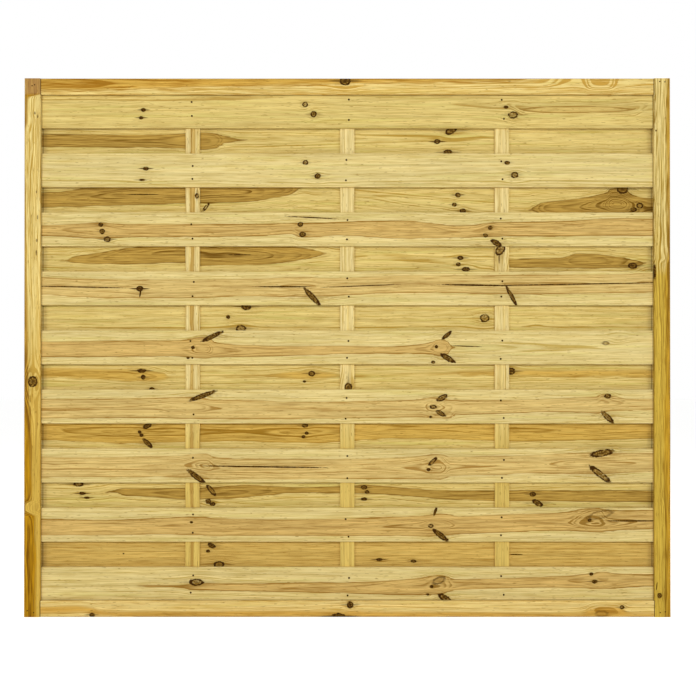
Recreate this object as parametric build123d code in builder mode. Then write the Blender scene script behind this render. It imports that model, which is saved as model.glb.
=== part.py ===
from build123d import *
from math import ceil, sqrt
import os

# Timber fence panel, seen from its front, which faces -Y. Millimetres, +X to the right, +Z up.
# A grooved frame of two stiles and two rails holds two layers of straight horizontal slats, one in
# front of three upright battens and one behind them. Each rear slat closes a gap between front slats.
# The origin is on the outer face of the left stile, at its foot, in the middle of its depth.

# Frame
panel_width = 1800.0
panel_height = 1500.0
frame_face = 45.0  # width of stiles and rails, as seen from the front
frame_depth = 45.0  # front to back
frame_arris = 4.0  # radius of the rounded long edges on the outside
groove_arris = 1.5  # radius of the long edges beside the groove
groove_depth = 12.0  # slat groove along the inner side of each frame piece
slat_clearance = 0.3  # between a slat and the cheek of the groove
tenon_clearance = 0.1  # between a tenon and each cheek of the groove
tenon_end_gap = 0.5  # between a tenon's end and the bottom of the groove

# Wanes: hollows in the right stile's front inner edge, where the sawn timber ran out into the bark
upper_wane_drop = 88.0  # from the top of the panel to the middle of the wane
upper_wane_length = 104.0
upper_wane_reach = 9.0  # how far it runs onto the front face
lower_wane_drop = 540.0
lower_wane_length = 38.0
lower_wane_reach = 6.0

# Slats
slat_width = 94.5
slat_thickness = 8.0
slat_arris = 1.2
slat_end_gap = 2.0  # between a slat's end and the bottom of the stile's groove
slat_rail_seat = 2.5  # how far the first and the last front slat enter the rails' grooves
least_overlap = 10.0  # the least that a front slat covers of the rear slat next to it

# Battens
batten_count = 3
batten_width = 40.0
batten_thickness = 8.0
batten_arris = 1.5
batten_end_gap = 2.0  # between a batten's end and the bottom of the rail's groove
batten_shift = 4.0  # how much nearer to the middle the outer ones stand than equal bays would put them

# What follows from these sizes
opening_width = panel_width - 2 * frame_face
opening_height = panel_height - 2 * frame_face
middle_height = panel_height / 2
middle_width = panel_width / 2

weave_thickness = 2 * slat_thickness + batten_thickness
groove_width = weave_thickness + 2 * slat_clearance
tenon_thickness = groove_width - 2 * tenon_clearance
tenon_height = frame_face - groove_depth
tenon_length = groove_depth - tenon_end_gap

slat_length = opening_width + 2 * (groove_depth - slat_end_gap)
slat_offset = (batten_thickness + slat_thickness) / 2  # from the middle of the depth to a slat's own middle
front_span = opening_height + 2 * slat_rail_seat - slat_width  # between the first and last front slat
front_count = ceil(front_span / (2 * (slat_width - least_overlap))) + 1
rear_count = front_count - 1
slat_pitch = front_span / (front_count - 1)

batten_length = opening_height + 2 * (groove_depth - batten_end_gap)
clear_bay = (opening_width - batten_count * batten_width) / (batten_count + 1)
batten_pitch = clear_bay + batten_width - batten_shift


def grooved_section():
    """Square section with rounded long edges and the slat groove, drawn with the groove towards +X."""
    with BuildSketch() as section:
        Rectangle(frame_face, frame_depth)
        fillet(section.vertices().group_by(Axis.X)[0], frame_arris)
        fillet(section.vertices().group_by(Axis.X)[-1], groove_arris)
        with Locations(((frame_face - groove_depth) / 2, 0)):
            Rectangle(groove_depth, groove_width, mode=Mode.SUBTRACT)
    return section.sketch


def stile():
    """Left stile: it runs the full height, and its groove takes the slats and the rails' tenons."""
    with BuildPart() as piece:
        with BuildSketch(Plane.XY):
            with Locations((frame_face / 2, 0)):
                add(grooved_section())
        extrude(amount=panel_height)
    return piece.part


def wane(drop, length, reach):
    """The hollow of one wane: a wheel on a slanted axle cuts a bevel that is deepest in its middle."""
    depth = reach / sqrt(2)
    radius = (length**2 / 4 + depth**2) / (2 * depth)
    edge = Vector(panel_width - frame_face, -frame_depth / 2, panel_height - drop)
    inwards = Vector(1, 1, 0).normalized()
    with BuildPart() as hollow:
        with BuildSketch(Plane(edge - (radius - depth) * inwards, x_dir=(0, 0, 1), z_dir=(1, -1, 0))):
            Circle(radius)
        extrude(amount=frame_face, both=True)
    return hollow.part


def waned_stile():
    """Right stile: the left one's mirror image, less the two wanes that only this one has."""
    with BuildPart() as piece:
        mirror(stile(), about=Plane.YZ.offset(middle_width))
        add(wane(upper_wane_drop, upper_wane_length, upper_wane_reach), mode=Mode.SUBTRACT)
        add(wane(lower_wane_drop, lower_wane_length, lower_wane_reach), mode=Mode.SUBTRACT)
    return piece.part


def rail():
    """Bottom rail: it stands between the stiles, with a stub tenon on each end above a square shoulder."""
    with BuildPart() as piece:
        with BuildSketch(Plane.YZ.offset(frame_face)):
            with Locations((0, frame_face / 2)):
                add(grooved_section(), rotation=90)
        extrude(amount=opening_width)
        with BuildSketch(Plane.YZ.offset(frame_face - tenon_length)):
            with Locations((0, tenon_height / 2)):
                Rectangle(tenon_thickness, tenon_height)
        extrude(amount=opening_width + 2 * tenon_length)
    return piece.part


def upper_rail():
    """Top rail: the bottom one's mirror image."""
    with BuildPart() as piece:
        mirror(rail(), about=Plane.XY.offset(middle_height))
    return piece.part


def slat(height, depth):
    """One planed slat with rounded edges, lying across the panel with its ends in both stiles' grooves."""
    with BuildPart() as piece:
        with BuildSketch(Plane.YZ.offset(middle_width - slat_length / 2)) as section:
            with Locations((depth, height)):
                Rectangle(slat_thickness, slat_width)
            fillet(section.vertices(), slat_arris)
        extrude(amount=slat_length)
    return piece.part


def batten(across):
    """One upright batten between the two layers of slats, with its ends in both rails' grooves."""
    with BuildPart() as piece:
        with BuildSketch(Plane.XY.offset(middle_height - batten_length / 2)) as section:
            with Locations((across, 0)):
                Rectangle(batten_width, batten_thickness)
            fillet(section.vertices(), batten_arris)
        extrude(amount=batten_length)
    return piece.part


pieces = {}

pieces["left_stile"] = stile()
pieces["right_stile"] = waned_stile()
pieces["bottom_rail"] = rail()
pieces["top_rail"] = upper_rail()

for number in range(batten_count):
    steps_from_middle = number - (batten_count - 1) / 2
    pieces[f"batten_{number + 1}"] = batten(middle_width + steps_from_middle * batten_pitch)

# Slats are numbered from the top down.
for number in range(front_count):
    height = middle_height + front_span / 2 - number * slat_pitch
    pieces[f"front_slat_{number + 1}"] = slat(height, -slat_offset)

for number in range(rear_count):
    height = middle_height + front_span / 2 - (number + 0.5) * slat_pitch
    pieces[f"rear_slat_{number + 1}"] = slat(height, slat_offset)

os.makedirs("parts", exist_ok=True)
for name, piece in pieces.items():
    piece.label = name
    export_step(piece, f"parts/{name}.step")
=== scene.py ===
import math
import random

import bmesh
import bpy
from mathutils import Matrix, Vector


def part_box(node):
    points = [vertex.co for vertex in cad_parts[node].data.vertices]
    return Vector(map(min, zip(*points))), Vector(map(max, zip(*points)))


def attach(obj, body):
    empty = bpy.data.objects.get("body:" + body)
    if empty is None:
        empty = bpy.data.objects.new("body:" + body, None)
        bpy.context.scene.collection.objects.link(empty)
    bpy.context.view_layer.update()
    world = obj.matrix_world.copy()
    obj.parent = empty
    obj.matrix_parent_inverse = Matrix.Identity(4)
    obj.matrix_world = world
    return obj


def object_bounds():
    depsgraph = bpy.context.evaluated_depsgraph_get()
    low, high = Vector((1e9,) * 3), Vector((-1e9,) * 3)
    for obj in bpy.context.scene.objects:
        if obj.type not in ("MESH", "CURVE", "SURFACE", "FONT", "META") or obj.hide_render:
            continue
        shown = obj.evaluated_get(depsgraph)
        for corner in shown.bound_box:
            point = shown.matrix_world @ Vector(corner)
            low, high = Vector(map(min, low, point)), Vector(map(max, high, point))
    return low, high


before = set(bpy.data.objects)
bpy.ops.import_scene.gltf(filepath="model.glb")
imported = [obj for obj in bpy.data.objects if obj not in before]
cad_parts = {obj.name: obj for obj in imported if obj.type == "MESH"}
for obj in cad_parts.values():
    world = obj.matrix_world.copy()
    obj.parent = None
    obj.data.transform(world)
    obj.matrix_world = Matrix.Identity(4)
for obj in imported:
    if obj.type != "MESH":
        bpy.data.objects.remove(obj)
cad_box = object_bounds()


# Stiles: the frame's two uprights, planed from 45 mm square pine and pressure-treated. A groove along the
# inner side takes the slats' ends and the rails' stub tenons. Every board here is of the same planed pine,
# so what makes that wood is defined in this section. Sizes are in millimetres up to the studio's section.
panel_width = round(1000 * (cad_box[1][0] - cad_box[0][0]), 1)
panel_height = round(1000 * (cad_box[1][2] - cad_box[0][2]), 1)
stile_width = round(1000 * (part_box("left_stile")[1][0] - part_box("left_stile")[0][0]), 1)


def linear(code):
    """Linear red, green, blue and alpha of an sRGB colour given as hex."""
    values = [int(code[i : i + 2], 16) / 255 for i in (1, 3, 5)]
    return [v / 12.92 if v <= 0.04045 else ((v + 0.055) / 1.055) ** 2.4 for v in values] + [1.0]


def add(tree, kind, inputs=(), **settings):
    """Adds a node, sets its properties, and gives each input a value or a link from a socket or node."""
    node = tree.nodes.new(kind)
    for name, value in settings.items():
        setattr(node, name, value)
    for socket, value in dict(inputs).items():
        if isinstance(value, bpy.types.Node):
            value = value.outputs[0]
        if isinstance(value, bpy.types.NodeSocket):
            tree.links.new(value, node.inputs[socket])
        else:
            node.inputs[socket].default_value = value
    return node


def new_group(name, inputs, outputs):
    """A node group with sockets of the given kinds, and the sockets that its own input node gives."""
    tree = bpy.data.node_groups.new(name, "ShaderNodeTree")
    for direction, sockets in (("INPUT", inputs), ("OUTPUT", outputs)):
        for socket, kind in sockets.items():
            tree.interface.new_socket(socket, in_out=direction, socket_type="NodeSocket" + kind)
    return tree, add(tree, "NodeGroupInput").outputs


# A knot goes straight through its board: a brown oval with a dark heart and a rim of bark, a stain along
# the grain, and dark checks that run on from it. The board's rings bend round it. Grain is millimetres
# along, across and into the board, Blotches and Mottle are noise, and a knot whose Core is 0 only bends the
# rings.
knot_brown = "#8A6620"
knot_black = "#3C2200"
stain_scale = (0.33, 0.5, 0.0)  # a stain is three times as long as its knot and twice as wide
check_scale = (0.26, 2.8, 0.0)  # checks are four times as long as their knot and a third as wide
bend_scale = (0.34, 0.42, 0.0)  # the rings close again within three knot lengths
bend = 0.85  # share of the way that the rings give way to a knot
rim_place = 0.88  # share of the way out to a knot's edge
rim_width = 3.0  # from the rim's middle line to where it has faded
rim_black_width = 1.2
pine_knot, given = new_group(
    "pine_knot",
    {
        "Grain": "Vector",
        "Blotches": "Vector",
        "Mottle": "Float",
        "Centre": "Vector",
        "Size": "Vector",
        "Turn": "Float",
        "Core": "Float",
        "Check": "Float",
        "Push": "Float",
        "Brown": "Float",
        "Dark": "Float",
    },
    {"Push": "Float", "Brown": "Float", "Dark": "Float"},
)
blotches = add(pine_knot, "ShaderNodeSeparateXYZ", {0: given["Blotches"]}).outputs
away = add(pine_knot, "ShaderNodeVectorMath", {0: given["Grain"], 1: given["Centre"]}, operation="SUBTRACT")
turned = add(
    pine_knot,
    "ShaderNodeVectorRotate",
    {"Vector": away, "Angle": given["Turn"]},
    rotation_type="Z_AXIS",
    invert=True,
)

# Its outline is uneven: Reach is 1 at the edge, and blotches move that in and out by up to a quarter.
shares = add(pine_knot, "ShaderNodeVectorMath", {0: turned, 1: given["Size"]}, operation="DIVIDE")
reach = add(pine_knot, "ShaderNodeVectorMath", {0: shares}, operation="LENGTH").outputs["Value"]
uneven = add(pine_knot, "ShaderNodeMath", {0: blotches["X"], 1: 0.5, 2: 0.75}, operation="MULTIPLY_ADD")
reach = add(pine_knot, "ShaderNodeMath", {0: reach, 1: uneven}, operation="MULTIPLY")
there = add(pine_knot, "ShaderNodeMath", {0: given["Core"], 1: 5.0}, operation="MULTIPLY", use_clamp=True)
body = add(
    pine_knot,
    "ShaderNodeMapRange",
    {"Value": reach, "From Min": 1.1, "From Max": 0.9},
    interpolation_type="SMOOTHSTEP",
)

# The stain fades outwards, and blotches eat into its edge.
along = add(pine_knot, "ShaderNodeVectorMath", {0: away, 1: given["Size"]}, operation="DIVIDE")
stain = add(pine_knot, "ShaderNodeVectorMath", {0: along, 1: stain_scale}, operation="MULTIPLY")
stain = add(pine_knot, "ShaderNodeVectorMath", {0: stain}, operation="LENGTH").outputs["Value"]
stain = add(pine_knot, "ShaderNodeMath", {0: stain, 1: blotches["Y"]}, operation="ADD")
stain = add(
    pine_knot,
    "ShaderNodeMapRange",
    {"Value": stain, "From Min": 1.5, "From Max": 0.5, "To Max": 0.36},
    interpolation_type="SMOOTHSTEP",
)
mottle = add(pine_knot, "ShaderNodeMath", {0: given["Mottle"], 1: 0.5}, operation="SUBTRACT")
brown = add(pine_knot, "ShaderNodeMath", {0: given["Core"], 1: 1.0, 2: 0.3}, operation="MULTIPLY_ADD")
brown = add(
    pine_knot,
    "ShaderNodeMath",
    {0: mottle, 1: 2.4, 2: brown},
    operation="MULTIPLY_ADD",
    use_clamp=True,
)
brown = add(pine_knot, "ShaderNodeMath", {0: brown, 1: body}, operation="MULTIPLY")
brown = add(pine_knot, "ShaderNodeMath", {0: brown, 1: stain}, operation="MAXIMUM")
brown = add(pine_knot, "ShaderNodeMath", {0: brown, 1: there}, operation="MULTIPLY")
brown = add(pine_knot, "ShaderNodeMath", {0: given["Brown"], 1: brown}, operation="MAXIMUM")

# The rim is bark and resin, and here and there missing. It is drawn some 4 mm wide, where a real one is 1
# or 2 mm, so that it shows. Inside, the heart of the branch is dark and its sapwood mottled.
half_width = add(pine_knot, "ShaderNodeSeparateXYZ", {0: given["Size"]}).outputs["Y"]
off_rim = add(pine_knot, "ShaderNodeMath", {0: reach, 1: rim_place}, operation="SUBTRACT")
off_rim = add(pine_knot, "ShaderNodeMath", {0: off_rim}, operation="ABSOLUTE")
off_rim = add(pine_knot, "ShaderNodeMath", {0: off_rim, 1: half_width}, operation="MULTIPLY")
rim = add(
    pine_knot,
    "ShaderNodeMapRange",
    {"Value": off_rim, "From Min": rim_width, "From Max": rim_black_width},
    interpolation_type="SMOOTHSTEP",
)
bark = add(
    pine_knot,
    "ShaderNodeMath",
    {0: blotches["Y"], 1: 3.0, 2: -0.5},
    operation="MULTIPLY_ADD",
    use_clamp=True,
)
rim = add(pine_knot, "ShaderNodeMath", {0: rim, 1: bark}, operation="MULTIPLY")
near = add(pine_knot, "ShaderNodeMapRange", {"Value": reach, "From Min": 1.3, "From Max": 1.05})
rim = add(pine_knot, "ShaderNodeMath", {0: rim, 1: near}, operation="MULTIPLY")
pith = add(
    pine_knot,
    "ShaderNodeMapRange",
    {"Value": reach, "From Min": 0.6, "From Max": 0.2, "To Max": given["Core"]},
    interpolation_type="SMOOTHSTEP",
)
branch = add(pine_knot, "ShaderNodeMath", {0: given["Core"], 1: 1.6, 2: -0.95}, operation="MULTIPLY_ADD")
branch = add(
    pine_knot,
    "ShaderNodeMath",
    {0: mottle, 1: 3.8, 2: branch},
    operation="MULTIPLY_ADD",
    use_clamp=True,
)
branch = add(pine_knot, "ShaderNodeMath", {0: branch, 1: body}, operation="MULTIPLY")
branch = add(pine_knot, "ShaderNodeMath", {0: branch, 1: pith}, operation="MAXIMUM")
dark = add(pine_knot, "ShaderNodeMath", {0: branch, 1: rim}, operation="MAXIMUM")
dark = add(pine_knot, "ShaderNodeMath", {0: dark, 1: there}, operation="MULTIPLY")

# Checks are thin dark splits along the grain.
thin = add(pine_knot, "ShaderNodeVectorMath", {0: along, 1: check_scale}, operation="MULTIPLY")
thin = add(pine_knot, "ShaderNodeVectorMath", {0: thin}, operation="LENGTH").outputs["Value"]
check = add(
    pine_knot,
    "ShaderNodeMapRange",
    {"Value": thin, "From Min": 1.0, "From Max": 0.6},
    interpolation_type="SMOOTHSTEP",
)
check = add(pine_knot, "ShaderNodeMath", {0: check, 1: given["Check"]}, operation="MULTIPLY")
dark = add(pine_knot, "ShaderNodeMath", {0: dark, 1: check}, operation="MAXIMUM")
dark = add(pine_knot, "ShaderNodeMath", {0: given["Dark"], 1: dark}, operation="MAXIMUM")

# The rings bend round the knot. Push is how far they are moved across the board, in millimetres.
flow = add(pine_knot, "ShaderNodeVectorMath", {0: along, 1: bend_scale}, operation="MULTIPLY")
flow = add(pine_knot, "ShaderNodeVectorMath", {0: flow, 1: flow}, operation="DOT_PRODUCT").outputs["Value"]
fade = add(pine_knot, "ShaderNodeMath", {0: math.exp(-1.0), 1: flow}, operation="POWER")
aside = add(pine_knot, "ShaderNodeSeparateXYZ", {0: away}).outputs["Y"]
push = add(pine_knot, "ShaderNodeMath", {0: aside, 1: fade}, operation="MULTIPLY")
push = add(pine_knot, "ShaderNodeMath", {0: push, 1: bend, 2: given["Push"]}, operation="MULTIPLY_ADD")
add(pine_knot, "NodeGroupOutput", {"Push": push, "Brown": brown, "Dark": dark})

# Planed pine: pale sapwood and browner heartwood, both with growth rings that the saw cut into long lines.
# Low and High are the heartwood's two edges across the board, Spread is how fast it widens towards the
# back, Softness is over how many millimetres it fades at its edges, Soaked is how much treatment the
# sapwood drank, and Figure is how strongly the lines show. Late wood is harder than early wood, so it
# stands a little proud of the planed face and shines a little more.
heart_radius = 45.0  # from the pith to the board's face
ring_width = 2.0
fibre_width = 2.8
band_width = 11
bruise_width = 2.2
sway_reach = 7.0
ripple_reach = 2.5
pine, given = new_group(
    "planed_pine",
    {
        "Grain": "Vector",
        "Low": "Float",
        "High": "Float",
        "Spread": "Float",
        "Softness": "Float",
        "Soaked": "Float",
        "Figure": "Float",
        "Push": "Float",
        "Brown": "Float",
        "Dark": "Float",
        "Seed": "Vector",
        "Sapwood": "Color",
        "Sapwood line": "Color",
        "Heartwood": "Color",
        "Heartwood line": "Color",
        "Tint": "Color",
    },
    {"Colour": "Color", "Roughness": "Float", "Height": "Float"},
)
grain = add(pine, "ShaderNodeVectorMath", {0: given["Grain"], 1: given["Seed"]}, operation="ADD")
place = add(pine, "ShaderNodeSeparateXYZ", {0: given["Grain"]}).outputs


def streaks(along, across, detail=0.0, roughness=0.5):
    """Streaks in the wood that are so many millimetres long and so many wide."""
    scaled = add(
        pine,
        "ShaderNodeVectorMath",
        {0: grain, 1: (1 / along, 1 / across, 1 / across)},
        operation="MULTIPLY",
    )
    return add(
        pine,
        "ShaderNodeTexNoise",
        {"Vector": scaled, "Scale": 1.0, "Detail": detail, "Roughness": roughness},
    )


# The trunk wasn't quite straight: its rings sway by some 5 mm in half a metre, and ripple by 1 mm.
sway = add(
    pine,
    "ShaderNodeMath",
    {0: streaks(420, 90), 1: 2 * sway_reach, 2: -sway_reach},
    operation="MULTIPLY_ADD",
)
ripple = add(
    pine,
    "ShaderNodeMath",
    {0: streaks(70, 14, 1.0), 1: 2 * ripple_reach, 2: -ripple_reach},
    operation="MULTIPLY_ADD",
)
bent = add(pine, "ShaderNodeMath", {0: place["Y"], 1: given["Push"]}, operation="SUBTRACT")
bent = add(pine, "ShaderNodeMath", {0: bent, 1: sway}, operation="ADD")
bent = add(pine, "ShaderNodeMath", {0: bent, 1: ripple}, operation="ADD")

# Fibres are drawn 2.8 mm wide, where the real ones are 0.05 mm, so that they show.
fibres = streaks(60, fibre_width, 1.0, 0.6)
frayed = add(pine, "ShaderNodeMath", {0: fibres, 1: 0.5}, operation="SUBTRACT")
fraying = add(pine, "ShaderNodeMath", {0: given["Softness"], 1: 2.5, 2: 3.0}, operation="MULTIPLY_ADD")
frayed = add(pine, "ShaderNodeMath", {0: frayed, 1: fraying}, operation="MULTIPLY")
edge_line = add(pine, "ShaderNodeMath", {0: place["Y"], 1: frayed}, operation="ADD")

# Rings are circles round the pith, behind the face. The heartwood's half width sets how near they come.
middle = add(pine, "ShaderNodeMath", {0: given["Low"], 1: given["High"]}, operation="ADD")
middle = add(pine, "ShaderNodeMath", {0: middle, 1: 0.5}, operation="MULTIPLY")
half = add(pine, "ShaderNodeMath", {0: given["High"], 1: given["Low"]}, operation="SUBTRACT")
half = add(pine, "ShaderNodeMath", {0: half, 1: 0.5}, operation="MULTIPLY")
size = add(pine, "ShaderNodeMath", {0: half}, operation="ABSOLUTE")
chord = add(pine, "ShaderNodeMath", {0: half, 1: size}, operation="MULTIPLY")
chord = add(pine, "ShaderNodeMath", {0: place["Z"], 1: given["Spread"], 2: chord}, operation="MULTIPLY_ADD")
side = add(pine, "ShaderNodeMath", {0: bent, 1: middle}, operation="SUBTRACT")
square = add(pine, "ShaderNodeMath", {0: side, 1: side, 2: heart_radius**2}, operation="MULTIPLY_ADD")
square = add(pine, "ShaderNodeMath", {0: square, 1: chord}, operation="SUBTRACT")
square = add(pine, "ShaderNodeMath", {0: square, 1: 1.0}, operation="MAXIMUM")
radius = add(pine, "ShaderNodeMath", {0: square}, operation="SQRT")

# How far outside the heartwood a point is, in millimetres across the board. A darker line, some 3 mm wide,
# runs along the heartwood's edge.
side = add(pine, "ShaderNodeMath", {0: edge_line, 1: middle}, operation="SUBTRACT")
outside = add(pine, "ShaderNodeMath", {0: side, 1: side}, operation="MULTIPLY")
outside = add(pine, "ShaderNodeMath", {0: outside, 1: chord}, operation="SUBTRACT")
size = add(pine, "ShaderNodeMath", {0: size, 1: 4.0}, operation="MAXIMUM")
outside = add(pine, "ShaderNodeMath", {0: outside, 1: size}, operation="DIVIDE")
outside = add(pine, "ShaderNodeMath", {0: outside, 1: 0.5}, operation="MULTIPLY")
faded = add(pine, "ShaderNodeMath", {0: outside, 1: given["Softness"]}, operation="DIVIDE")
heart = add(
    pine,
    "ShaderNodeMapRange",
    {"Value": faded, "From Min": 1.0, "From Max": -1.0},
    interpolation_type="SMOOTHSTEP",
)
boundary = add(pine, "ShaderNodeMath", {0: outside, 1: 0.6}, operation="ADD")
boundary = add(pine, "ShaderNodeMath", {0: boundary}, operation="ABSOLUTE")
boundary = add(
    pine,
    "ShaderNodeMapRange",
    {"Value": boundary, "From Min": 2.0, "From Max": 0.5},
    interpolation_type="SMOOTHSTEP",
)

# A ring is pale early wood, then late wood that darkens and ends sharply. Every year has its own strength,
# and few are strong.
years = add(pine, "ShaderNodeMath", {0: radius, 1: 1 / ring_width}, operation="MULTIPLY")
spacing = add(pine, "ShaderNodeTexNoise", {"W": years, "Scale": 0.4, "Detail": 0.0}, noise_dimensions="1D")
years = add(pine, "ShaderNodeMath", {0: spacing, 1: 2.4, 2: years}, operation="MULTIPLY_ADD")
year = add(pine, "ShaderNodeMath", {0: years}, operation="FLOOR")
year = add(pine, "ShaderNodeTexWhiteNoise", {"W": year}, noise_dimensions="1D").outputs["Value"]
year = add(pine, "ShaderNodeMath", {0: year, 1: year, 2: 0.35}, operation="MULTIPLY_ADD")
season = add(pine, "ShaderNodeMath", {0: years}, operation="FRACT")
late = add(
    pine,
    "ShaderNodeMapRange",
    {"Value": season, "From Min": 0.25, "From Max": 0.85},
    interpolation_type="SMOOTHSTEP",
)
ended = add(
    pine,
    "ShaderNodeMapRange",
    {"Value": season, "From Min": 1.0, "From Max": 0.9},
    interpolation_type="SMOOTHSTEP",
)
late = add(pine, "ShaderNodeMath", {0: late, 1: ended}, operation="MULTIPLY")
late = add(pine, "ShaderNodeMath", {0: late, 1: year}, operation="MULTIPLY")

# Bands along the board differ in how strong their lines are, how pale they are and how green the treatment
# has left them.
bands = streaks(300, band_width, 1.0).outputs["Color"]
bands = add(pine, "ShaderNodeSeparateColor", {0: bands}).outputs
strength = add(
    pine,
    "ShaderNodeMapRange",
    {"Value": bands["Red"], "From Min": 0.3, "From Max": 0.65, "To Min": 0.3, "To Max": 1.1},
    interpolation_type="SMOOTHSTEP",
)
swirl = add(pine, "ShaderNodeMath", {0: given["Push"]}, operation="ABSOLUTE")
strength = add(pine, "ShaderNodeMath", {0: swirl, 1: 0.15, 2: strength}, operation="MULTIPLY_ADD")
late = add(pine, "ShaderNodeMath", {0: late, 1: strength}, operation="MULTIPLY")
streak = add(pine, "ShaderNodeMath", {0: fibres, 1: 1.7, 2: -0.70}, operation="MULTIPLY_ADD")
line = add(pine, "ShaderNodeMath", {0: late, 1: streak}, operation="ADD")
line = add(pine, "ShaderNodeMath", {0: line, 1: given["Figure"]}, operation="MULTIPLY", use_clamp=True)
tint = add(
    pine,
    "ShaderNodeMapRange",
    {"Value": bands["Blue"], "From Min": 0.5, "From Max": 0.75, "To Max": 0.5},
    interpolation_type="SMOOTHSTEP",
)
tint = add(pine, "ShaderNodeMath", {0: tint, 1: given["Soaked"]}, operation="MAXIMUM")
sapwood = add(pine, "ShaderNodeMixRGB", {"Fac": tint, "Color1": given["Sapwood"], "Color2": given["Tint"]})
sapwood = add(pine, "ShaderNodeMixRGB", {"Fac": line, "Color1": sapwood, "Color2": given["Sapwood line"]})
heartwood = add(
    pine,
    "ShaderNodeMixRGB",
    {"Fac": line, "Color1": given["Heartwood"], "Color2": given["Heartwood line"]},
)
wood = add(pine, "ShaderNodeMixRGB", {"Fac": heart, "Color1": sapwood, "Color2": heartwood})
boundary = add(pine, "ShaderNodeMath", {0: boundary, 1: strength}, operation="MULTIPLY")
boundary = add(pine, "ShaderNodeMath", {0: boundary, 1: given["Softness"]}, operation="DIVIDE")
boundary = add(pine, "ShaderNodeMath", {0: boundary, 1: 1.1}, operation="MULTIPLY", use_clamp=True)
wood = add(pine, "ShaderNodeMixRGB", {"Fac": boundary, "Color1": wood, "Color2": given["Heartwood line"]})
pale = add(
    pine,
    "ShaderNodeMapRange",
    {"Value": bands["Green"], "From Min": 0.3, "From Max": 0.7, "To Min": 0.91, "To Max": 1.08},
)
wood = add(pine, "ShaderNodeHueSaturation", {"Value": pale, "Color": wood})

# The planer bruised some resin canals, which show as short brown strokes.
strokes = add(
    pine,
    "ShaderNodeMapRange",
    {"Value": streaks(16, bruise_width), "From Min": 0.72, "From Max": 0.8, "To Max": 0.55},
    interpolation_type="SMOOTHSTEP",
)
brown = add(pine, "ShaderNodeMath", {0: given["Brown"], 1: strokes}, operation="MAXIMUM")
wood = add(pine, "ShaderNodeMixRGB", {"Fac": brown, "Color1": wood, "Color2": linear(knot_brown)})
wood = add(pine, "ShaderNodeMixRGB", {"Fac": given["Dark"], "Color1": wood, "Color2": linear(knot_black)})
roughness = add(pine, "ShaderNodeMapRange", {"Value": line, "To Min": 0.68, "To Max": 0.58})
height = add(pine, "ShaderNodeMath", {0: given["Dark"], 1: -2.0, 2: line}, operation="MULTIPLY_ADD")
add(pine, "NodeGroupOutput", {"Colour": wood, "Roughness": roughness, "Height": height})

edge_range = 60.0  # heartwood edges are given up to this far from a board's middle line
seam_width = 3.0  # line of dirt and, on a slat, painted shade where boards meet; dark at first, then fading
seam_dark_width = 0.8
ring_relief = 0.2  # how far the late wood stands proud of the early wood
through_board = 1e6  # a knot's size into the board, so that it goes straight through


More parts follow.
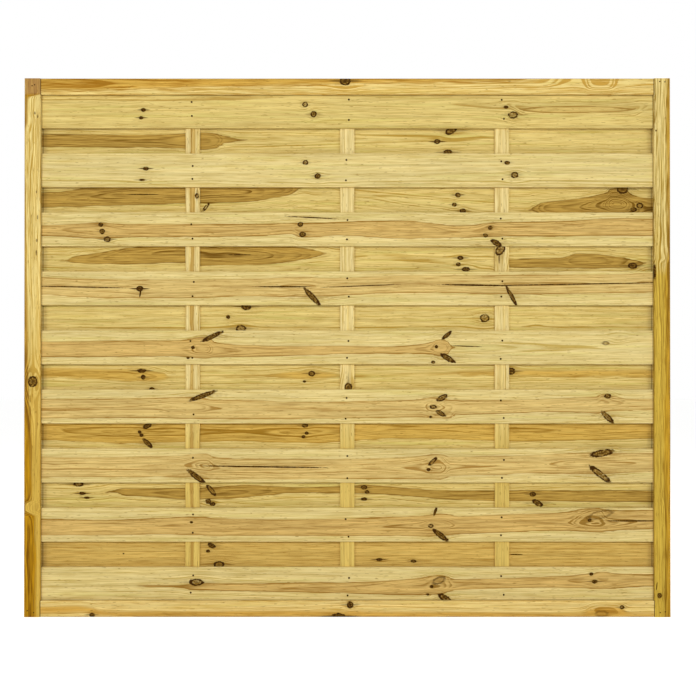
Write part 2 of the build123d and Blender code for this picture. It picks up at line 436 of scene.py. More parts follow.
def pine_board(
    name,
    grain_up,
    heartwood,
    knots,
    tones,
    spread=60.0,
    softness=1.0,
    figure=1.0,
    seam=0.0,
    slat=False,
    soaked=None,
):
    """Gives a CAD board its own piece of planed pine.

    Heartwood rows are millimetres along the board and its two edges across it. Knot rows are along, across,
    half length, half width, turn in degrees, how dark the inside is, and how dark its checks are. Tones are
    the sapwood and its lines, the heartwood and its lines, and the sapwood where the treatment tints it.
    Spread, softness and figure go to the wood's own sockets. Seam is how dark the line is where the board
    meets the stiles: dirt, and on a slat also painted shade where it goes into the frame's groove. A slat
    has such a line at a rail too. An upright board has soaked up treatment below the first of two heights,
    fading to nothing at the second.
    """
    lowest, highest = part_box(name)
    middle = 500 * (Vector(lowest) + Vector(highest))
    material = bpy.data.materials.new("planed_pine_" + name)
    material.use_nodes = True
    tree = material.node_tree
    tree.nodes.clear()
    place = add(tree, "ShaderNodeTexCoord").outputs["Object"]
    place = add(tree, "ShaderNodeVectorMath", {0: place, 1: (1000.0,) * 3}, operation="MULTIPLY")
    place = add(tree, "ShaderNodeSeparateXYZ", {0: place}).outputs
    along_axis, across_axis, middle_line = ("Z", "X", middle.x) if grain_up else ("X", "Z", middle.z)
    across = add(tree, "ShaderNodeMath", {0: place[across_axis], 1: middle_line}, operation="SUBTRACT")
    inwards = add(tree, "ShaderNodeMath", {0: place["Y"], 1: 1000 * lowest[1]}, operation="SUBTRACT")
    grain = add(tree, "ShaderNodeCombineXYZ", {"X": place[along_axis], "Y": across, "Z": inwards})

    # Each edge of the heartwood is a smooth curve through the rows, along the board.
    share = add(tree, "ShaderNodeMath", {0: place[along_axis], 1: 1 / panel_width}, operation="MULTIPLY")
    edges = []
    for column in (1, 2):
        curve = add(tree, "ShaderNodeFloatCurve", {"Value": share})
        points = curve.mapping.curves[0].points
        heights = {row[0] / panel_width: row[column] for row in heartwood}
        heights |= {0.0: heartwood[0][column], 1.0: heartwood[-1][column]}
        for position in sorted(heights)[1:-1]:
            points.new(position, 0.5)
        for point, position in zip(points, sorted(heights)):
            point.location = (position, (heights[position] + edge_range) / (2 * edge_range))
            point.handle_type = "AUTO_CLAMPED"
        curve.mapping.update()
        edge = add(
            tree,
            "ShaderNodeMath",
            {0: curve, 1: 2 * edge_range, 2: -edge_range},
            operation="MULTIPLY_ADD",
        )
        edges.append(edge)

    # Dirt, and on a slat also painted shade of the frame's groove, darken the board where it meets the
    # frame's inner edges.
    distances = []
    for axis, half_span in (("X", panel_width / 2), ("Z", panel_height / 2))[: 2 if slat else 1]:
        away = add(tree, "ShaderNodeMath", {0: place[axis], 1: half_span}, operation="SUBTRACT")
        away = add(tree, "ShaderNodeMath", {0: away}, operation="ABSOLUTE")
        away = add(tree, "ShaderNodeMath", {0: away, 1: half_span - stile_width}, operation="SUBTRACT")
        distances.append(add(tree, "ShaderNodeMath", {0: away}, operation="ABSOLUTE"))
    from_frame = add(tree, "ShaderNodeMath", {0: distances[0], 1: distances[-1]}, operation="MINIMUM")
    dirt_and_painted_shade = add(
        tree,
        "ShaderNodeMapRange",
        {"Value": from_frame, "From Min": seam_width, "From Max": seam_dark_width, "To Max": seam},
        interpolation_type="SMOOTHSTEP",
    )

    # Every knot passes on what the ones before it have done to the wood. Blotches are some 8 mm across, and
    # the mottle in a knot 5 mm.
    blotches = add(tree, "ShaderNodeTexNoise", {"Vector": grain, "Scale": 0.13, "Detail": 1.0})
    mottle = add(tree, "ShaderNodeTexNoise", {"Vector": grain, "Scale": 0.22, "Detail": 1.0})
    marks = {"Push": 0.0, "Brown": 0.0, "Dark": dirt_and_painted_shade}
    for along, aside, half_length, half_width, turn, core, check in knots:
        knot = add(
            tree,
            "ShaderNodeGroup",
            {
                "Grain": grain,
                "Blotches": blotches.outputs["Color"],
                "Mottle": mottle,
                "Centre": (along, aside, 0.0),
                "Size": (half_length, half_width, through_board),
                "Turn": math.radians(turn),
                "Core": core,
                "Check": check,
                **marks,
            },
            node_tree=pine_knot,
        )
        marks = {mark: knot.outputs[mark] for mark in marks}

    # The seed puts every board at a place of its own in the trunk.
    draw = random.Random(name)
    colours = zip(("Sapwood", "Sapwood line", "Heartwood", "Heartwood line", "Tint"), tones)
    wood = add(
        tree,
        "ShaderNodeGroup",
        {
            "Grain": grain,
            "Low": edges[0],
            "High": edges[1],
            "Spread": spread,
            "Softness": softness,
            "Figure": figure,
            "Seed": [draw.uniform(-4000, 4000) for _ in range(3)],
            **marks,
            **{socket: linear(code) for socket, code in colours},
        },
        node_tree=pine,
    )
    if soaked:
        damp = add(
            tree,
            "ShaderNodeMapRange",
            {"Value": place[along_axis], "From Min": soaked[1], "From Max": soaked[0]},
            interpolation_type="SMOOTHSTEP",
        )
        tree.links.new(damp.outputs[0], wood.inputs["Soaked"])

    # Bare planed pine is matt: it hardly shines, and only its relief catches the light.
    bump = add(
        tree,
        "ShaderNodeBump",
        {"Strength": 0.5, "Distance": ring_relief / 1000, "Height": wood.outputs["Height"]},
    )
    shader = add(
        tree,
        "ShaderNodeBsdfPrincipled",
        {
            "Base Color": wood.outputs["Colour"],
            "Roughness": wood.outputs["Roughness"],
            "IOR": 1.5,
            "Specular IOR Level": 0.05,
            "Normal": bump,
        },
    )
    add(tree, "ShaderNodeOutputMaterial", {"Surface": shader})
    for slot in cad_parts[name].material_slots:
        slot.material = material
    return tree, wood, place


# The stiles are resinous on their outer half, which the treatment has turned golden to orange. The left
# one's pale patch, 300 mm up, is where its resinous part narrows for some 30 mm.
tree, wood, place = pine_board(
    "left_stile",
    True,
    [
        (0, -24, 10), (150, -24, 12), (260, -24, 9), (286, -24, 7), (292, -24, -19), (314, -24, -19),
        (322, -24, -3), (420, -24, 0), (560, -24, -5), (620, -24, -10), (700, -24, -12), (880, -24, -15),
        (950, -24, -18), (1340, -24, -20), (1380, -24, -15), (1440, -24, -13), (1453, -24, 4),
        (1457, -24, 26), (1500, -24, 26),
    ],
    [
        (655, 2, 15, 13, 0, 0.75, 0.0),
        (600, 4, 40, 12, 0, 0.0, 0.0),
        (1403, 7, 3.5, 2.5, 0, 0.12, 0.0),
        (1394, 15, 4, 1.6, 0, 0.15, 0.0),
        (1184, 12, 4, 1.6, 0, 0.12, 0.0),
        (1112, 15, 5, 1.4, 0, 0.12, 0.0),
        (1048, 13, 4, 2, 0, 0.12, 0.0),
        (1013, 12, 7, 2, 0, 0.12, 0.0),
        (304, 8, 9, 18, 0, 0.0, 0.0),
        (1330, -12, 40, 10, 0, 0.0, 0.0),
    ],
    ("#F2DC90", "#C29C42", "#BE8C14", "#744A02", "#DAB650"),
    spread=8.0,
    softness=6.0,
    figure=1.3,
    soaked=(420, 1050),
)
# Its top end drank more of the treatment and has weathered brown, down to the rail's lower edge.
browned = add(
    tree,
    "ShaderNodeMapRange",
    {"Value": place["Z"], "From Min": panel_height - 50, "From Max": panel_height - 40},
)
for socket, brown in (("Heartwood", "#BE9450"), ("Heartwood line", "#93693A")):
    orange = wood.inputs[socket].default_value
    brown = add(tree, "ShaderNodeMixRGB", {"Fac": browned, "Color1": orange, "Color2": linear(brown)})
    tree.links.new(brown.outputs[0], wood.inputs[socket])
pine_board(
    "right_stile",
    True,
    [
        (0, 6, 24), (320, 6, 24), (350, 4, 24), (590, 4, 24), (640, 8, 24), (950, 8, 24), (985, 9, 24),
        (1000, 13, 24), (1280, 12, 24), (1390, 11, 24), (1500, 13, 24),
    ],
    [
        (339, 9, 9, 7, 0, 0.0, 0.0),
        (60, -9, 7, 6, 0, 0.8, 0.0),
        (86, -17, 10, 1.2, 8, 1.0, 0.0),
        (1412, -22, 50, 3, 0, 0.06, 0.0),
        (960, -21, 20, 2.6, 0, 0.7, 0.0),
        (1354, -17, 2, 2, 0, 0.9, 0.0),
        (960, 2, 60, 14, 0, 0.0, 0.0),
    ],
    ("#F0DA90", "#A8862E", "#C69A2C", "#825C0E", "#D2B146"),
    spread=8.0,
    softness=5.0,
    figure=1.3,
    soaked=(945, 985),
)


# Rails: the same section between the stiles, their groove towards the slats, with a stub tenon at each end
# that is glued and nailed in the stile's groove. They are planed pine as the stiles are, and the saw has
# cut swirls where branches had bent the rings.
rail_tones = ("#ECD488", "#C49A42", "#D5AA4C", "#A06E18", "#DCC260")
bottom_tones = ("#EFD68C", "#C8A04A", "#D8AC50", "#A87824", "#E0C466")
pine_board(
    "top_rail",
    False,
    [
        (45, -13, 24), (300, -8, 24), (600, 0, 24), (900, 6, 24), (1300, 13, 24), (1410, 17, 24),
        (1545, 42, 2), (1602, 22, 22), (1660, 42, 2), (1755, 44, 0),
    ],
    [
        (894, 15, 15, 12, 0, 0.9, 0.6),
        (148, 10, 34, 7, -15, 0.0, 0.0),
        (1602, 18, 45, 13, 0, 0.0, 0.0),
    ],
    rail_tones,
    spread=8.0,
    softness=5.0,
    figure=1.4,
    seam=0.9,
)
pine_board(
    "bottom_rail",
    False,
    [
        (45, -12, 6), (140, -10, 8), (250, -20, -8), (700, -22, -6), (1200, -22, -10), (1540, -22, -12),
        (1580, -22, 0), (1620, -22, 6), (1660, -22, 0), (1700, -22, -12), (1755, -22, -12),
    ],
    [
        (190, -16, 7, 5, 0, 0.6, 0.6),
        (908, 12, 9, 9, 0, 1.0, 0.5),
        (876, -20, 18, 8, 0, 0.8, 0.8),
        (1607, -13, 18, 9, 0, 0.07, 0.0),
        (1664, 5, 6, 5, 0, 0.5, 0.4),
    ],
    bottom_tones,
    spread=8.0,
    softness=5.0,
    seam=0.9,
)


# Battens: three slim uprights of pale sapwood, planed, which stand in the rails' grooves between the two
# layers of slats. Every slat is nailed to them.
batten_tones = ("#EAD696", "#C0A052", "#DDBE72", "#AE8A40", "#DDC168")
pine_board(
    "batten_1",
    True,
    [(0, -4, 3), (700, -6, 2), (1346, -5, 6), (1500, 2, -8)],
    [(1175, 12, 7, 5, 0, 0.4, 0.3), (1346, -2, 12, 3, 4, 0.0, 0.4)],
    batten_tones,
    soaked=(420, 700),
)
pine_board(
    "batten_2",
    True,
    [(0, 12, -2), (1500, 12, -2)],
    [(638, 3, 13, 10, 0, 0.8, 0.3)],
    batten_tones,
    soaked=(420, 700),
)
pine_board(
    "batten_3",
    True,
    [(0, -2, -14), (1500, -2, -14)],
    [(1023, -5, 17, 11, 45, 0.5, 0.0), (999, -8, 12, 1.2, 0, 1.0, 0.0)],
    batten_tones,
    soaked=(420, 700),
)


# Rear slats: eight planed boards, 8 mm thick, nailed to the back of the battens. Each closes the gap
# between two front slats, and its ends sit in the stiles' grooves. In the slats' rows of knots, those with
# a half width of 1 or 2 mm that are long along the grain are cracks.
# A slat's seam is a darker line at the frame: part dirt, part painted shade where the slat goes into the
# groove.
slat_seam = 0.45
rear_tones = ("#E0C97E", "#B4923E", "#BE9A48", "#745212", "#CAC062")
rear_golden = ("#E0C97E", "#B4923E", "#D4AE54", "#98701E", "#CAC062")
rear_pale = ("#E0C97E", "#B4923E", "#DAB966", "#A67E30", "#CAC062")
rear_slats = {
    1: (
        [
            (41, -14, 21), (344, -15, 20), (499, -21, 26), (556, -4, 16), (600, 3, 7), (625, 8, 2),
            (1759, 30, -10),
        ],
        [
            (1192, 32, 17, 9, 25, 0.7, 0.4),
            (1153, 1, 8, 6, 0, 0.4, 0.9),
            (1183, -29, 12, 7, 0, 0.8, 0.5),
            (1643, 8, 14, 6, 0, 0.0, 0.0),
        ],
    ),
    2: (
        [
            (41, -19, 23), (174, -16, 36), (344, -11, 48), (522, -6, 50), (598, -5, 50), (683, 6, 48),
            (739, 17, 46), (775, 36, 42), (810, 40, 26), (1100, 10, -10), (1400, -22, -30),
            (1420, -27, -20), (1459, -40, -4), (1558, -46, 7), (1629, -46, 23), (1657, -46, 35),
            (1699, -46, 18), (1756, -46, 7),
        ],
        [
            (502, -19, 14, 4, 50, 0.2, 0.0),
            (325, 17.5, 38, 1.3, 0, 0.9, 0.0),
            (1211, 16, 7, 6, 0, 0.6, 0.7),
            (1201, -11, 6, 5, 0, 0.7, 0.3),
            (1225, -29, 8, 6, 0, 0.8, 0.5),
            (1674, 32, 16, 12, 0, 0.7, 0.4),
            (1722, -14, 9, 7, 0, 0.2, 0.0),
            (1705, -25, 8, 6, 0, 0.7, 0.4),
        ],
    ),
    3: (
        [
            (41, 2, -10), (106, -5, -3), (132, -9, 7), (174, -12, 14), (231, -13, 23), (287, -13, 32),
            (443, -9, 45), (485, -18, 45), (654, -15, 42), (739, -6, 36), (796, 3, 28), (835, 14, 18),
            (870, 25, 5), (1300, 0, -20), (1358, -22, -1), (1502, -24, 4), (1558, -25, 16), (1643, -25, 9),
            (1699, -22, -1), (1730, -14, -8), (1759, -5, -15),
        ],
        [
            (524, 27, 10, 7, 0, 0.0, 0.0),
            (1218, 4, 8, 5, 0, 0.6, 0.8),
            (1212, -14, 6, 5, 0, 0.8, 0.3),
            (1233, -28, 10, 6, 0, 0.8, 0.6),
            (1702, -18, 12, 8, 0, 0.9, 0.5),
            (598, 13, 30, 1.3, 0, 0.9, 0.0),
        ],
    ),
    4: (
        [(41, -20, -50), (1759, -20, -50)],
        [
            (565, 3, 5, 5, 0, 1.0, 0.0),
            (601, -30, 14, 10, 0, 0.4, 0.3),
            (616, 32, 13, 9, 0, 0.9, 0.5),
            (1286, 0, 13, 11, 0, 0.35, 0.0),
            (1431, -28, 9, 5, 0, 0.0, 0.0),
        ],
    ),
    5: (
        [
            (41, -3, 24), (202, -7, 22), (315, -13, 18), (386, -8, 10), (410, 0, -4), (600, 6, 0),
            (640, 4, 2), (725, -4, 12), (790, -7, 15), (860, -2, 10), (895, 4, 0), (1190, 12, 8),
            (1220, 5, 15), (1383, 2, 17), (1500, -1, 18), (1756, -1, 18),
        ],
        [
            (322, 17, 11, 5, 0, 0.8, 1.0),
            (327, -1, 6, 6, 0, 1.0, 0.5),
            (351, -35, 7, 5, 0, 1.0, 0.4),
            (800, 9, 9, 7, 0, 0.6, 0.6),
            (780, -13, 4, 3, 0, 1.0, 0.3),
            (1360, 16, 11, 9, 0, 0.9, 0.5),
        ],
    ),
    6: (
        [
            (39, -12, 46), (146, -17, 46), (287, -21, 46), (443, -19, 46), (598, -15, 46), (767, -21, 46),
            (880, -17, 46), (1050, -8, 46), (1163, -9, 46), (1358, -16, 46), (1615, -11, 46),
            (1756, -9, 46),
        ],
        [
            (338, 27, 12, 6, 20, 0.9, 0.3),
            (317, 10, 5, 4, 0, 1.0, 0.2),
            (322, 1, 5, 4, 0, 1.0, 0.2),
            (339, -21, 17, 6, -45, 0.8, 0.0),
            (786, 7, 5, 4, 0, 0.9, 0.4),
            (777, -3, 5, 4, 0, 0.9, 0.3),
            (781, 28, 8, 5, 0, 0.6, 0.3),
        ],
    ),
    7: (
        [
            (41, 10, -6), (200, 8, -2), (239, 6, 10), (287, -4, 17), (372, -8, 17), (442, -13, 17),
            (547, -13, 22), (626, -7, 26), (683, -2, 23), (767, 4, 19), (880, 3, 23), (965, 2, 25),
            (1050, -3, 19), (1163, -12, 12), (1312, -18, 11), (1756, -20, 11),
        ],
        [
            (156, 3, 8, 4, 0, 0.9, 1.0),
            (169, -9, 7, 3, 0, 0.9, 1.0),
            (146, 29, 14, 6, 0, 0.5, 0.6),
            (510, -19, 8, 6, 0, 0.9, 0.3),
            (522, -27, 7, 5, 0, 0.9, 0.3),
            (518, 12, 18, 6, -50, 0.3, 0.0),
            (947, 20, 8, 6, 0, 0.8, 0.5),
            (955, 7, 6, 5, 0, 0.9, 0.4),
            (947, -13, 8, 4, 0, 0.7, 0.9),
            (1421, 1, 8, 6, 0, 0.9, 0.6),
            (1434, -24, 15, 7, -30, 0.8, 0.3),
        ],
    ),
    8: (
        [(41, -45, 45), (1759, -45, 45)],
        [
            (519, 22, 11, 6, -30, 1.0, 0.3),
            (509, 6, 5, 4, 0, 0.9, 0.3),
            (540, -32, 14, 9, 0, 0.5, 0.3),
            (990, -18, 8, 4, 0, 0.8, 1.0),
            (1086, -22, 7, 4, 0, 0.6, 0.6),
            (272, -1, 2, 1.5, 0, 1.0, 0.0),
            (1373, -3.4, 16, 1.3, 0, 0.8, 0.0),
        ],
    ),
}
for number, (heartwood, knots) in rear_slats.items():
    name = f"rear_slat_{number}"
    tones = {5: rear_golden, 6: rear_golden, 8: rear_pale}.get(number, rear_tones)
    softness = 5.0 if number == 5 else 1.5
    pine_board(name, False, heartwood, knots, tones, softness=softness, seam=slat_seam, slat=True)


# Front slats: nine planed boards like the rear ones, nailed to the front of the battens. The lower seven
# come from one log, so their heartwood and knots nearly repeat from board to board.
front_tones = ("#E3CF8E", "#BFA355", "#D8B66C", "#9A7430", "#D4C876")
front_yellow = ("#DFC87C", "#B6964A", "#DABE70", "#A2803A", "#CCC068")
front_pale = ("#E3CF8E", "#BFA355", "#DCC078", "#A8823E", "#D4C876")
front_slats = {
    1: (
        [
            (44, 58, 32), (1340, 30, 0), (1400, 1, 9), (1500, -4, 14), (1600, -3, 13), (1690, 2, 8),
            (1751, 30, 0),
        ],
        [
            (330, 4, 6, 5, 0, 0.9, 1.0),
            (324, -18, 6, 4, 0, 0.5, 1.0),
            (782, 19, 7, 7, 0, 0.3, 0.0),
            (806, -8, 8, 8, 0, 0.7, 0.3),
            (1344, 12, 6, 4, 0, 1.0, 0.3),
            (1364, -10, 13, 9, 0, 0.3, 0.2),
        ],
    ),
    2: (
        [(44, -32, -58), (1751, -32, -58)],
        [
            (337, 5, 7, 5, 0, 0.7, 1.0),
            (326, -27, 8, 3, 0, 0.8, 0.8),
            (783, 22, 7, 6, 0, 0.5, 0.2),
            (817, -16, 8, 7, 0, 0.8, 0.3),
            (1347, 21, 7, 5, 0, 0.8, 0.2),
            (1368, -13, 10, 8, 0, 0.5, 0.2),
        ],
    ),
    3: (
        [
            (44, -19, 11), (215, -25, 18), (291, -22, 14), (431, -21, 14), (656, -18, 15), (740, -14, 17),
            (774, -22, 18), (880, -18, 20), (1049, -26, 24), (1133, -25, 17), (1217, -23, 10),
            (1302, -20, 18), (1498, -19, 22), (1667, -18, 31), (1751, -18, 30),
        ],
        [
            (211, 13, 6, 5, 0, 1.0, 0.4),
            (215, -6, 7, 7, 0, 0.8, 0.2),
            (229, -28, 9, 7, 0, 0.4, 0.6),
            (769, 14, 7, 6, 0, 0.6, 0.0),
            (775, -14, 9, 7, 0, 0.7, 0.2),
            (800, 33, 62, 1.5, -3, 0.5, 0.0),
            (1300, 4, 6, 5, 0, 0.8, 0.3),
            (1286, -17, 6, 5, 0, 0.6, 0.2),
            (1316, -38, 16, 7, -30, 0.9, 0.0),
        ],
    ),
    4: (
        [
            (44, -18, 30), (150, -24, 26), (291, -27, 24), (431, -27, 25), (628, -22, 26), (768, -23, 31),
            (852, -21, 29), (965, -15, 33), (1133, -11, 36), (1274, -15, 36), (1386, -16, 37),
            (1498, -15, 38), (1667, -12, 39), (1751, -10, 43),
        ],
        [
            (320, -1, 9, 7, 0, 0.9, 1.0),
            (322, -12, 12, 2, 80, 0.8, 0.0),
            (802, -24, 31, 7, -47, 0.7, 0.0),
            (1359, -22, 30, 5, -61, 0.7, 0.0),
            (150, 4, 110, 1.4, -1.3, 1.0, 0.0),
            (719, 4.5, 66, 1.8, 0, 1.0, 0.0),
            (939, 7, 92, 1.2, 2.2, 1.0, 0.0),
            (1260, 9, 86, 2.2, -1, 1.0, 0.0),
            (1545, 12, 220, 1.5, 1, 0.9, 0.0),
        ],
    ),
    5: (
        [
            (44, -27, 16), (206, -26, 18), (431, -25, 20), (501, -30, 28), (529, -28, 15), (571, -27, 9),
            (656, -25, 5), (768, -23, 4), (880, -19, 4), (993, -17, 2), (1105, -17, 9), (1139, -20, 16),
            (1161, -24, 21), (1190, -5, 5), (1215, 5, -5), (1751, 20, -20),
        ],
        [
            (523, 31, 30, 6, 25, 0.8, 0.0),
            (469, 0, 5, 4, 0, 1.0, 0.2),
            (455, -29, 4, 3, 0, 1.0, 0.2),
            (1149, 2, 4, 4, 0, 1.0, 0.3),
            (1178, 34, 16, 5, 40, 0.8, 0.0),
            (1181, -30, 22, 7, -30, 0.8, 0.0),
            (1140, -41, 5, 4, 0, 0.6, 0.0),
            (1622, 12, 9, 5, 0, 0.12, 0.0),
            (1653, 31, 14, 9, 0, 0.0, 0.0),
            (1233, 3.5, 36, 1.2, -2.4, 0.8, 0.0),
        ],
    ),
    6: (
        [
            (44, -33, 20), (347, -31, 23), (459, -34, 26), (529, -34, 19), (656, -34, 16), (768, -34, 13),
            (993, -31, 16), (1105, -29, 20), (1139, -32, 25), (1181, -33, 18), (1203, -24, 17),
            (1330, -20, 18), (1498, -15, 23), (1597, -19, 28), (1616, -15, 35), (1644, -11, 29),
            (1695, -10, 22), (1751, -9, 22),
        ],
        [
            (496, 30, 36, 6, 20, 0.8, 0.0),
            (1164, 24, 15, 7, 28, 0.6, 0.0),
            (1140, -1, 9, 5, 0, 0.3, 0.2),
            (1161, -19, 14, 6, -30, 0.7, 0.0),
            (1133, -29, 4, 3, 0, 1.0, 0.0),
            (1627, 29, 9, 6, 0, 0.6, 0.2),
            (1627, -30, 22, 7, -45, 0.6, 0.0),
        ],
    ),
    7: (
        [
            (44, -32, 23), (347, -31, 25), (431, -31, 28), (501, -36, 33), (529, -38, 24), (600, -38, 19),
            (768, -38, 18), (993, -36, 21), (1105, -37, 27), (1156, -38, 31), (1189, -30, 25),
            (1330, -25, 27), (1442, -21, 30), (1554, -23, 35), (1667, -20, 34), (1751, -17, 34),
        ],
        [
            (479, -31, 30, 7, -38, 0.8, 0.0),
            (665, -3, 155, 1.9, -0.9, 1.0, 0.0),
            (1139, 12, 15, 5, 45, 0.35, 0.0),
            (1127, -11, 5, 4, 0, 0.9, 0.2),
            (1611, 35, 32, 9, 10, 0.7, 0.0),
            (1606, -24, 36, 8, -38, 0.45, 0.0),
        ],
    ),
    8: (
        [
            (44, -29, 17), (206, -29, 13), (347, -27, 17), (473, -29, 22), (543, -31, 18), (768, -31, 15),
            (993, -31, 21), (1105, -31, 25), (1161, -30, 30), (1217, -26, 24), (1330, -22, 28),
            (1498, -16, 34), (1597, -20, 46), (1625, -18, 41), (1667, -15, 40), (1751, -11, 40),
        ],
        [
            (465, 7, 4, 3, 0, 1.0, 0.2),
            (1146, 38, 12, 3.5, 70, 0.9, 0.0),
            (1133, -3, 7, 5, 0, 0.3, 0.0),
            (1160, -29, 25, 7, -38, 0.8, 0.0),
            (1606, 28, 38, 11, 14, 0.09, 0.0),
            (1577, 13, 5, 4, 0, 0.8, 0.2),
            (1700, 11, 70, 1.7, 0, 1.0, 0.0),
        ],
    ),
    9: (
        [
            (44, 2, -12), (300, -2, -9), (347, -8, -3), (431, -9, -4), (459, -15, -1), (501, -17, 1),
            (656, -21, 1), (768, -22, 4), (880, -25, 4), (993, -28, 8), (1105, -31, 17), (1161, -28, 24),
            (1203, -17, 13), (1400, -11, 18), (1498, -10, 22), (1583, -12, 29), (1616, -13, 34),
            (1644, -12, 29), (1751, -7, 27),
        ],
        [
            (479, 5, 19, 9, 0, 0.45, 0.2),
            (1156, 10, 19, 9, 20, 0.13, 0.0),
            (1136, -7, 4, 4, 0, 1.0, 0.2),
            (1125, -29, 4, 3, 0, 1.0, 0.2),
            (1172, -39, 20, 8, -30, 0.8, 0.0),
            (1590, 7, 8, 5, 0, 1.0, 0.6),
            (1581, 28, 5, 4, 0, 1.0, 0.2),
        ],
    ),
}
for number, (heartwood, knots) in front_slats.items():
    tones = {1: front_yellow, 4: front_pale, 6: front_pale, 7: front_pale}.get(number, front_tones)
    pine_board(f"front_slat_{number}", False, heartwood, knots, tones, seam=slat_seam, slat=True)


# Nails: plain wire nails, two at each crossing of a slat and a batten and two at each corner joint, driven
# nearly flush by machine. Their flat steel heads have browned where the zinc was knocked off, in spots of
# some 1.4 mm. Sizes are in millimetres.
slat_nail_radius = 2.8
corner_nail_radius = 1.8
head_sunk = 0.4  # how deep a head starts in the wood
head_edge = 0.3  # where its bevel starts
head_height = 0.6  # its flat top
top_share = 0.7  # the top's radius as a share of the head's
head_sides = 12

browned_steel = bpy.data.materials.new("wire_nail_browned_steel")
browned_steel.use_nodes = True
tree = browned_steel.node_tree
shader = tree.nodes["Principled BSDF"]
stain = add(tree, "ShaderNodeTexCoord").outputs["Object"]
stain = add(tree, "ShaderNodeTexNoise", {"Vector": stain, "Scale": 700.0})
steel = add(
    tree,
    "ShaderNodeMixRGB",
    {"Fac": stain, "Color1": linear("#261400"), "Color2": linear("#4E340C")},
)
tree.links.new(steel.outputs[0], shader.inputs["Base Color"])
shader.inputs["Specular IOR Level"].default_value = 0.05
shader.inputs["Roughness"].default_value = 0.6


def nails(name, places, outwards, head_radius):
    """One mesh of nail heads at places in millimetres, all facing forwards (-1) or backwards (+1)."""
    mesh = bmesh.new()
    for x, y, z in places:
        rings = []
        for radius, height in (
            (head_radius, -head_sunk),
            (head_radius, head_edge),
            (top_share * head_radius, head_height),
        ):
            ring = [
                mesh.verts.new(
                    (
                        (x + radius * math.cos(2 * math.pi * i / head_sides)) / 1000,
                        (y + outwards * height) / 1000,
                        (z + radius * math.sin(2 * math.pi * i / head_sides)) / 1000,
                    )
                )
                for i in range(head_sides)
            ]
            rings.append(ring)
        for lower, upper in zip(rings, rings[1:]):
            for i in range(head_sides):
                mesh.faces.new((lower[i - 1], lower[i], upper[i], upper[i - 1]))
        mesh.faces.new(rings[-1])
        mesh.faces.new(rings[0])
    bmesh.ops.recalc_face_normals(mesh, faces=mesh.faces)
    data = bpy.data.meshes.new(name)
    mesh.to_mesh(data)
    mesh.free()
    data.materials.append(browned_steel)
    piece = bpy.data.objects.new(name, data)
    bpy.context.scene.collection.objects.link(piece)
    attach(piece, "root")


# Heights above and below each front slat's middle, at the left, middle and right batten.
front_heights = {
    1: ((26, -13), (33, -24), (32, -21)),
    2: ((12, -24), (29, -28), (25, -25)),
    3: ((14, -26), (26, -28), (30, -26)),
    4: ((18, -22), (28, -23), (20, -23)),
    5: ((18, -29), (18, -29), (19, -32)),
    6: ((20, -22), (24, -34), (17, -32)),
    7: ((22, -22), (27, -35), (16, -34)),
    8: ((29, -22), (16, -33), (21, -29)),
    9: ((24, -24), (17, -32), (22, -30)),
}
rear_height = 24  # above and below a rear slat's middle
stray_sideways = 5  # how far a nail may miss the batten's middle line
stray_up = 6
batten_middles = [500 * (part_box(f"batten_{n}")[0][0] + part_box(f"batten_{n}")[1][0]) for n in (1, 2, 3)]
draw = random.Random("nails")
places = []
for number, pairs in front_heights.items():
    lowest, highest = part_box(f"front_slat_{number}")
    middle = 500 * (lowest[2] + highest[2])
    for x, heights in zip(batten_middles, pairs):
        for height in heights:
            across = x + draw.uniform(-stray_sideways, stray_sideways)
            places.append((across, 1000 * lowest[1], middle + height))
nails("front_slat_nails", places, -1, slat_nail_radius)
places = []
for number in rear_slats:
    lowest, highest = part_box(f"rear_slat_{number}")
    middle = 500 * (lowest[2] + highest[2])
    for x in batten_middles:
        for height in (rear_height, -rear_height):
            height += draw.uniform(-stray_up, stray_up)
            across = x + draw.uniform(-stray_sideways, stray_sideways)
            places.append((across, 1000 * highest[1], middle + height))
nails("rear_slat_nails", places, 1, slat_nail_radius)

# Corner nails sit at the same places on both faces, across and up from the panel's lower left corner.
corner_nails = [
    (22, 1479), (29, 1482), (1771, 1491), (1785, 1490), (10, 18), (28, 13), (1770, 13), (1784, 15),
]
front_face, back_face = (1000 * corner[1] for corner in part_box("left_stile"))
for name, face, outwards in (("front_corner_nails", front_face, -1), ("rear_corner_nails", back_face, 1)):
    places = [(x, face, z) for x, z in corner_nails]
    nails(name, places, outwards, corner_nail_radius)


# Studio: the panel stands on a plain pale floor in front of nothing but white. Of six soft boxes, one is
# above the camera, two lower and weaker ones are to its left and right, one is behind the panel and one
# beside each stile. An even fill comes from all round. Sizes are in metres.
middle = Vector((panel_width / 2000, 0.0, panel_height / 2000))
floor_radius = 14.0
floor_sides = 96
floor = bmesh.new()
bmesh.ops.create_circle(floor, cap_ends=True, segments=floor_sides, radius=floor_radius)
bmesh.ops.translate(floor, verts=floor.verts, vec=(middle.x, 0.0, 0.0))
data = bpy.data.meshes.new("studio_floor")
floor.to_mesh(data)
floor.free()
studio_floor = bpy.data.objects.new("studio_floor", data)
bpy.context.scene.collection.objects.link(studio_floor)


def in_view(tree):
    """1 for what the camera sees, straight or in a reflection, and 0 for light on its way to the object."""
    rays = add(tree, "ShaderNodeLightPath").outputs
    camera, glossy, through = (rays[f"Is {kind} Ray"] for kind in ("Camera", "Glossy", "Transmission"))
    seen = add(tree, "ShaderNodeMath", {0: camera, 1: glossy}, operation="ADD")
    return add(tree, "ShaderNodeMath", {0: seen, 1: through}, operation="ADD", use_clamp=True)


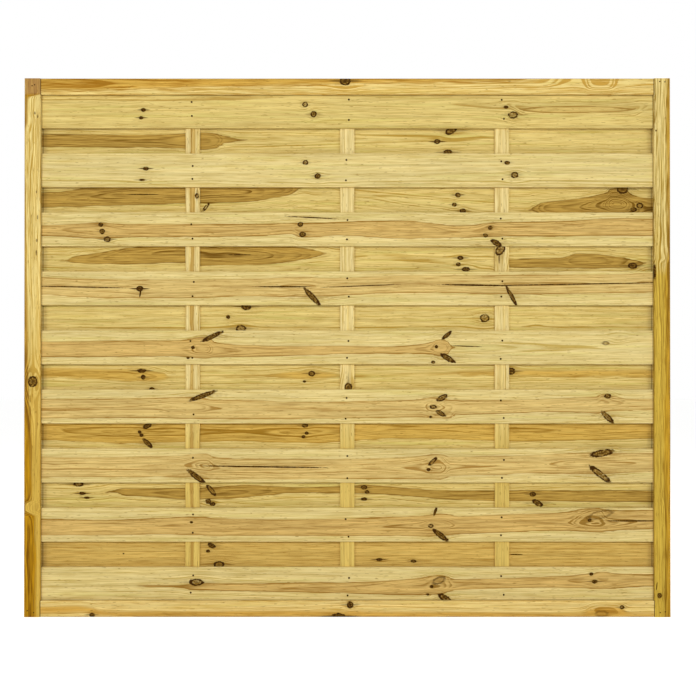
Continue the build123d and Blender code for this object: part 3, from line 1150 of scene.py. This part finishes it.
# The floor glows a little in view, so that it is as white as the background and still keeps the shadow.
floor_lift = 0.62
pale_floor = bpy.data.materials.new("matt_pale_floor")
pale_floor.use_nodes = True
tree = pale_floor.node_tree
tree.nodes.clear()
lift = add(tree, "ShaderNodeMath", {0: in_view(tree), 1: floor_lift}, operation="MULTIPLY")
shader = add(
    tree,
    "ShaderNodeBsdfPrincipled",
    {
        "Base Color": linear("#F2F2F0"),
        "Roughness": 0.9,
        "Emission Color": (1.0, 1.0, 1.0, 1.0),
        "Emission Strength": lift,
    },
)
add(tree, "ShaderNodeOutputMaterial", {"Surface": shader})
data.materials.append(pale_floor)

world = bpy.data.worlds.new("white_studio")
bpy.context.scene.world = world
world.use_nodes = True
tree = world.node_tree
tree.nodes.clear()
fill = 0.35
level = add(tree, "ShaderNodeMapRange", {"Value": in_view(tree), "To Min": fill, "To Max": 1.0})
background = add(tree, "ShaderNodeBackground", {"Color": (1.0, 1.0, 1.0, 1.0), "Strength": level})
add(tree, "ShaderNodeOutputWorld", {"Surface": background})

# Each soft box is half a metre square and faces the panel's middle. Rows are degrees round the panel from
# the camera's side, degrees above its middle, and watts.
lamp_distance = 4.2
lamp_size = 0.5
for azimuth, elevation, energy in (
    (0, 19, 50.0),
    (-35, 10, 27.5),
    (35, 10, 27.5),
    (180, 20, 60.0),
    (-95, 10, 40.0),
    (95, 10, 40.0),
):
    lamp = bpy.data.lights.new("soft_box", "AREA")
    lamp.shape = "SQUARE"
    lamp.size = lamp_size
    lamp.energy = energy
    box = bpy.data.objects.new("soft_box", lamp)
    azimuth, elevation = math.radians(azimuth), math.radians(elevation)
    direction = Vector(
        (
            math.sin(azimuth) * math.cos(elevation),
            -math.cos(azimuth) * math.cos(elevation),
            math.sin(elevation),
        )
    )
    box.location = middle + lamp_distance * direction
    box.rotation_mode = "QUATERNION"
    box.rotation_quaternion = direction.to_track_quat("Z", "Y")
    bpy.context.scene.collection.objects.link(box)


# Camera: almost level with the panel's middle and square to it, 2.8 m away, as in the photograph, with a
# lens that leaves the photograph's narrow margin round the panel.
lens = bpy.data.cameras.new("camera")
lens.sensor_width = 36.0
lens.lens = 52.03
camera = bpy.data.objects.new("camera", lens)
camera.location = (0.902, -2.822, 0.7365)
camera.rotation_euler = (math.radians(90.243), 0.0, 0.0)
bpy.context.scene.collection.objects.link(camera)
bpy.context.scene.camera = camera
bpy.context.scene.view_settings.view_transform = "Standard"
